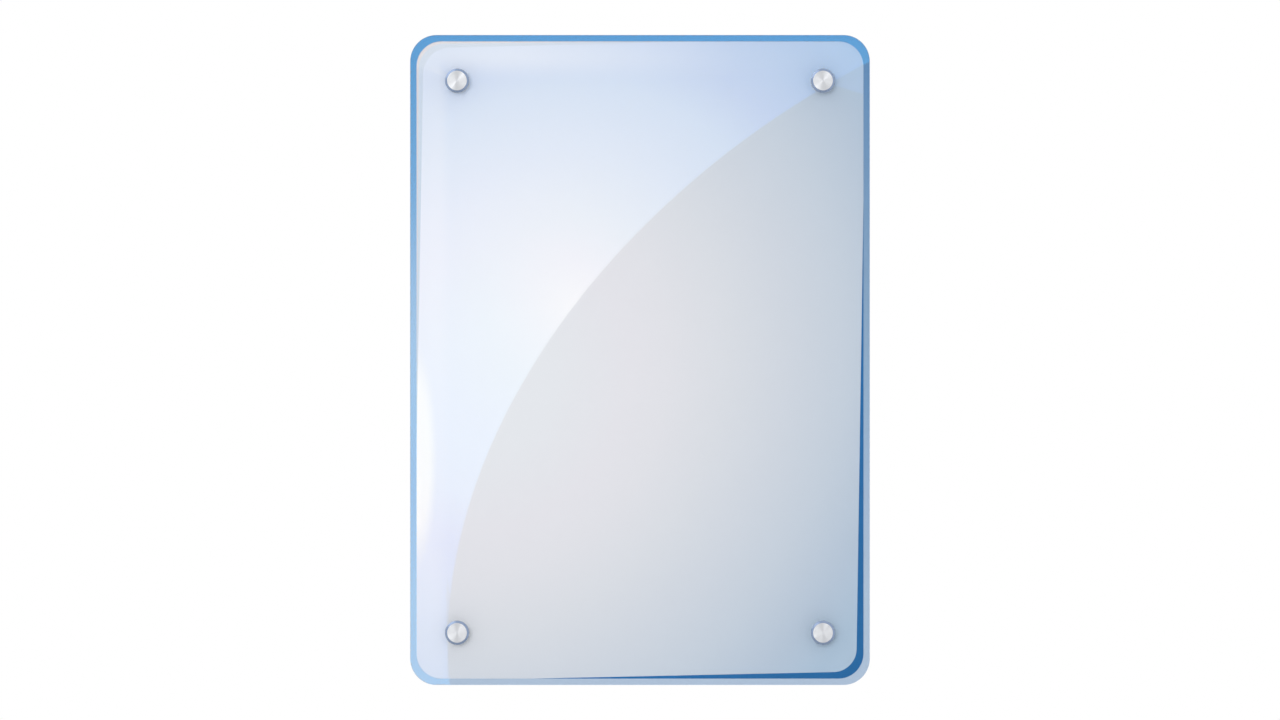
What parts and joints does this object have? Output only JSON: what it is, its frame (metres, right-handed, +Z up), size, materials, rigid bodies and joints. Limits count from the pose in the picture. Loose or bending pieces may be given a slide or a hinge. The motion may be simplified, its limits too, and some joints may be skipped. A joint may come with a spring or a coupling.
{
  "type": "glass whiteboard",
  "caption": "Portrait glass writing board with a bevelled blue rim and pale face, held off the wall on corner standoffs with brushed round screw caps.",
  "frame": {"origin": "on the wall plane, behind the centre of the glass", "axes": "+X to the right and +Z up as seen from the front, +Y into the wall; the writing face looks along -Y"},
  "size_m": [0.42, 0.0722, 0.594],
  "materials": {
    "pane_glass": "polished, bevelled at the back",
    "backing_film": "smooth pale film",
    "sheet_steel": "galvanised",
    "cap_metal": "turned and satin anodised",
    "barrel_metal": "satin anodised",
    "stud_steel": "zinc plated",
    "nylon": "natural moulded nylon",
    "screw_steel": "bright zinc",
    "plug_plastic": "grey moulded nylon"
  },
  "bodies": {
    "root": {"glass_pane": "pane_glass", "backing_film": "backing_film", "steel_sheet": "sheet_steel", "hole_sleeve_top_left": "nylon", "hole_sleeve_top_right": "nylon", "hole_sleeve_bottom_left": "nylon", "hole_sleeve_bottom_right": "nylon", "rear_washer_top_left": "nylon", "rear_washer_top_right": "nylon", "rear_washer_bottom_left": "nylon", "rear_washer_bottom_right": "nylon", "barrel_top_left": "barrel_metal", "barrel_top_right": "barrel_metal", "barrel_bottom_left": "barrel_metal", "barrel_bottom_right": "barrel_metal", "wall_screw_top_left": "screw_steel", "wall_screw_top_right": "screw_steel", "wall_screw_bottom_left": "screw_steel", "wall_screw_bottom_right": "screw_steel", "wall_plug_top_left": "plug_plastic", "wall_plug_top_right": "plug_plastic", "wall_plug_bottom_left": "plug_plastic", "wall_plug_bottom_right": "plug_plastic"},
    "top_left_washer": {"front_washer_top_left": "nylon"},
    "top_left_cap": {"cap_top_left": "cap_metal", "stud_top_left": "stud_steel"},
    "top_right_washer": {"front_washer_top_right": "nylon"},
    "top_right_cap": {"cap_top_right": "cap_metal", "stud_top_right": "stud_steel"},
    "bottom_left_washer": {"front_washer_bottom_left": "nylon"},
    "bottom_left_cap": {"cap_bottom_left": "cap_metal", "stud_bottom_left": "stud_steel"},
    "bottom_right_washer": {"front_washer_bottom_right": "nylon"},
    "bottom_right_cap": {"cap_bottom_right": "cap_metal", "stud_bottom_right": "stud_steel"}
  },
  "joints": [
    {"name": "top_left_cap_travel", "type": "slide", "parent": "root", "child": "top_left_washer", "axis": [0, -1, 0], "range_m": [0, 0.01125]},
    {"name": "top_left_cap_turn", "type": "hinge", "parent": "top_left_washer", "child": "top_left_cap", "pos_m": [-0.167, -0.031, 0.255], "axis": [0, -1, 0], "range_deg": [0, 3240]},
    {"name": "top_right_cap_travel", "type": "slide", "parent": "root", "child": "top_right_washer", "axis": [0, -1, 0], "range_m": [0, 0.01125]},
    {"name": "top_right_cap_turn", "type": "hinge", "parent": "top_right_washer", "child": "top_right_cap", "pos_m": [0.167, -0.031, 0.255], "axis": [0, -1, 0], "range_deg": [0, 3240]},
    {"name": "bottom_left_cap_travel", "type": "slide", "parent": "root", "child": "bottom_left_washer", "axis": [0, -1, 0], "range_m": [0, 0.01125]},
    {"name": "bottom_left_cap_turn", "type": "hinge", "parent": "bottom_left_washer", "child": "bottom_left_cap", "pos_m": [-0.167, -0.031, -0.249], "axis": [0, -1, 0], "range_deg": [0, 3240]},
    {"name": "bottom_right_cap_travel", "type": "slide", "parent": "root", "child": "bottom_right_washer", "axis": [0, -1, 0], "range_m": [0, 0.01125]},
    {"name": "bottom_right_cap_turn", "type": "hinge", "parent": "bottom_right_washer", "child": "bottom_right_cap", "pos_m": [0.167, -0.031, -0.249], "axis": [0, -1, 0], "range_deg": [0, 3240]}
  ],
  "couplings": [
    {"joint": "top_left_cap_travel", "follows": "top_left_cap_turn", "m_per_rad": 0.00019894},
    {"joint": "top_right_cap_travel", "follows": "top_right_cap_turn", "m_per_rad": 0.00019894},
    {"joint": "bottom_left_cap_travel", "follows": "bottom_left_cap_turn", "m_per_rad": 0.00019894},
    {"joint": "bottom_right_cap_travel", "follows": "bottom_right_cap_turn", "m_per_rad": 0.00019894}
  ]
}
